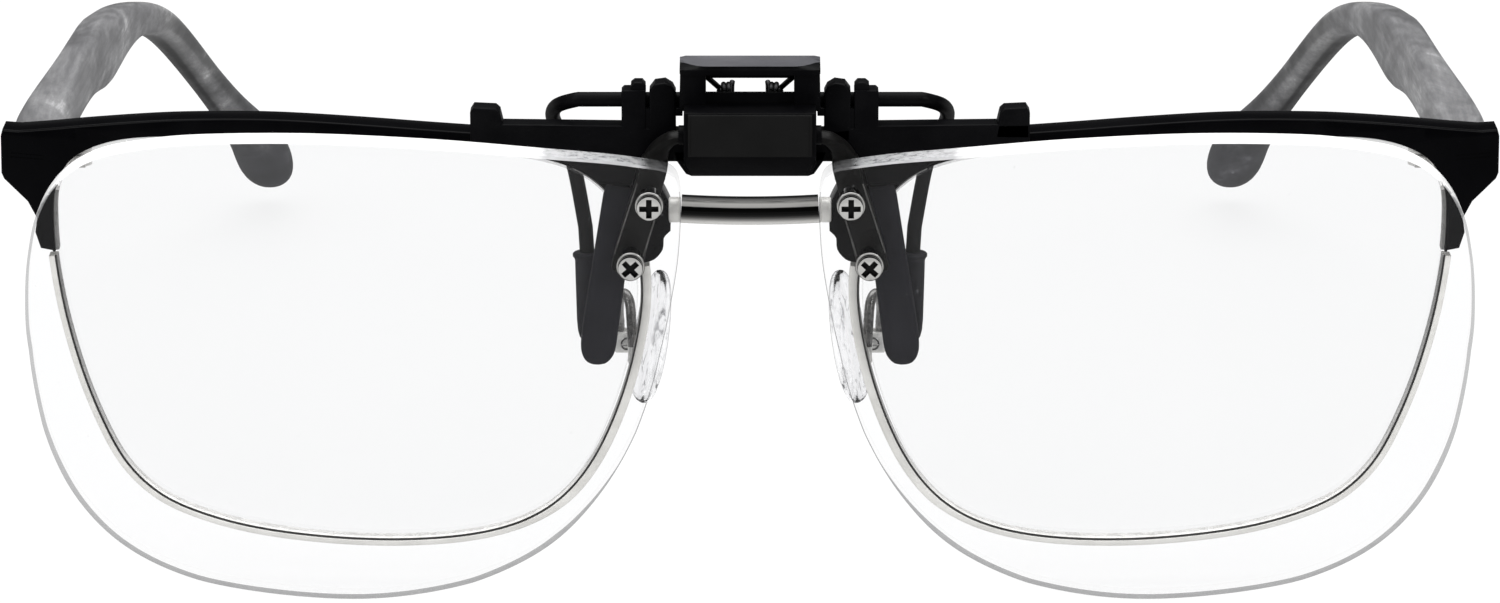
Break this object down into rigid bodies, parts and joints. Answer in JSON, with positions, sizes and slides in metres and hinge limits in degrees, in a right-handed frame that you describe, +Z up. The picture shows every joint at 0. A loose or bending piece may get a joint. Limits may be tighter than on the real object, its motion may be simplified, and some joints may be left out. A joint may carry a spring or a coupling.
{
  "type": "flip-up loupe spectacles",
  "caption": "Browline spectacles with folding temples carrying a sprung clip with a flip-up pair of clear magnifying lenses in front of the spectacle lenses.",
  "frame": {"origin": "middle of the object's footprint, on the plane it stands on", "axes": "+Z up, -Y out of the front of the lenses, +X to the right as seen from in front"},
  "size_m": [0.146, 0.15, 0.054],
  "materials": {
    "brow": "glossy black moulding",
    "rim": "satin silver-beige wire band",
    "bridge": "mirror-bright bar",
    "lens": "clear, polished faces",
    "magnifier": "clear, polished faces, ground edge",
    "pad": "clear soft silicone",
    "screw": "bright plated, cross slot",
    "hinge": "satin steel",
    "temple": "matte mid-grey with rubbed paler patches",
    "clip": "black, satin moulded plastic",
    "badge": "flat black plate, left blank",
    "leg": "dark grey soft rubber cover",
    "spring": "spring steel"
  },
  "bodies": {
    "spectacle_front": {"badge_plate": "badge", "bridge_bar": "bridge", "bridge_collar_left": "rim", "bridge_collar_right": "rim", "brow_left": "brow", "brow_right": "brow", "clip_body": "clip", "flip_detent_spring": "spring", "front_hinge_leaf_left": "hinge", "front_hinge_leaf_right": "hinge", "front_leg_cover_left": "leg", "front_leg_cover_right": "leg", "hinge_screw_left": "screw", "hinge_screw_right": "screw", "jaw_spring_left": "spring", "jaw_spring_right": "spring", "nose_pad_arm_left": "rim", "nose_pad_arm_right": "rim", "nose_pad_screw_left": "screw", "nose_pad_screw_right": "screw", "rim_left": "rim", "rim_right": "rim", "spectacle_lens_left": "lens", "spectacle_lens_right": "lens"},
    "temple_arm_left": {"temple_left": "temple", "temple_hinge_leaf_left": "hinge"},
    "temple_arm_right": {"temple_right": "temple", "temple_hinge_leaf_right": "hinge"},
    "pad_left": {"nose_pad_left": "pad"},
    "pad_right": {"nose_pad_right": "pad"},
    "rear_jaw": {"jaw_wire": "clip", "jaw_lever": "clip", "rear_leg_cover_left": "leg", "rear_leg_cover_right": "leg"},
    "flip_carrier": {"lens_carrier": "clip", "magnifier_lens_left": "magnifier", "magnifier_lens_right": "magnifier", "lens_screw_upper_left": "screw", "lens_screw_upper_right": "screw", "lens_screw_lower_left": "screw", "lens_screw_lower_right": "screw", "lens_washer_upper_left": "screw", "lens_washer_upper_right": "screw", "lens_washer_lower_left": "screw", "lens_washer_lower_right": "screw"}
  },
  "joints": [
    {"name": "temple_fold_left", "type": "hinge", "parent": "spectacle_front", "child": "temple_arm_left", "pos_m": [-0.0659, -0.0521, 0.04085], "axis": [0, 0, -1], "range_deg": [0, 86]},
    {"name": "temple_fold_right", "type": "hinge", "parent": "spectacle_front", "child": "temple_arm_right", "pos_m": [0.0659, -0.0521, 0.04085], "axis": [0, 0, 1], "range_deg": [0, 79]},
    {"name": "pad_swivel_left", "type": "hinge", "parent": "spectacle_front", "child": "pad_left", "pos_m": [-0.0121, -0.0571, 0.02245], "axis": [0, 1, 0], "range_deg": [-8, 8]},
    {"name": "pad_swivel_right", "type": "hinge", "parent": "spectacle_front", "child": "pad_right", "pos_m": [0.0121, -0.0571, 0.02245], "axis": [0, 1, 0], "range_deg": [-8, 8]},
    {"name": "jaw_open", "type": "hinge", "parent": "spectacle_front", "child": "rear_jaw", "pos_m": [0, -0.0666, 0.04945], "axis": [1, 0, 0], "range_deg": [0, 12], "stiffness_Nm_per_rad": 0.02},
    {"name": "lens_flip", "type": "hinge", "parent": "spectacle_front", "child": "flip_carrier", "pos_m": [0, -0.0712, 0.04715], "axis": [-1, 0, 0], "range_deg": [0, 90]}
  ]
}
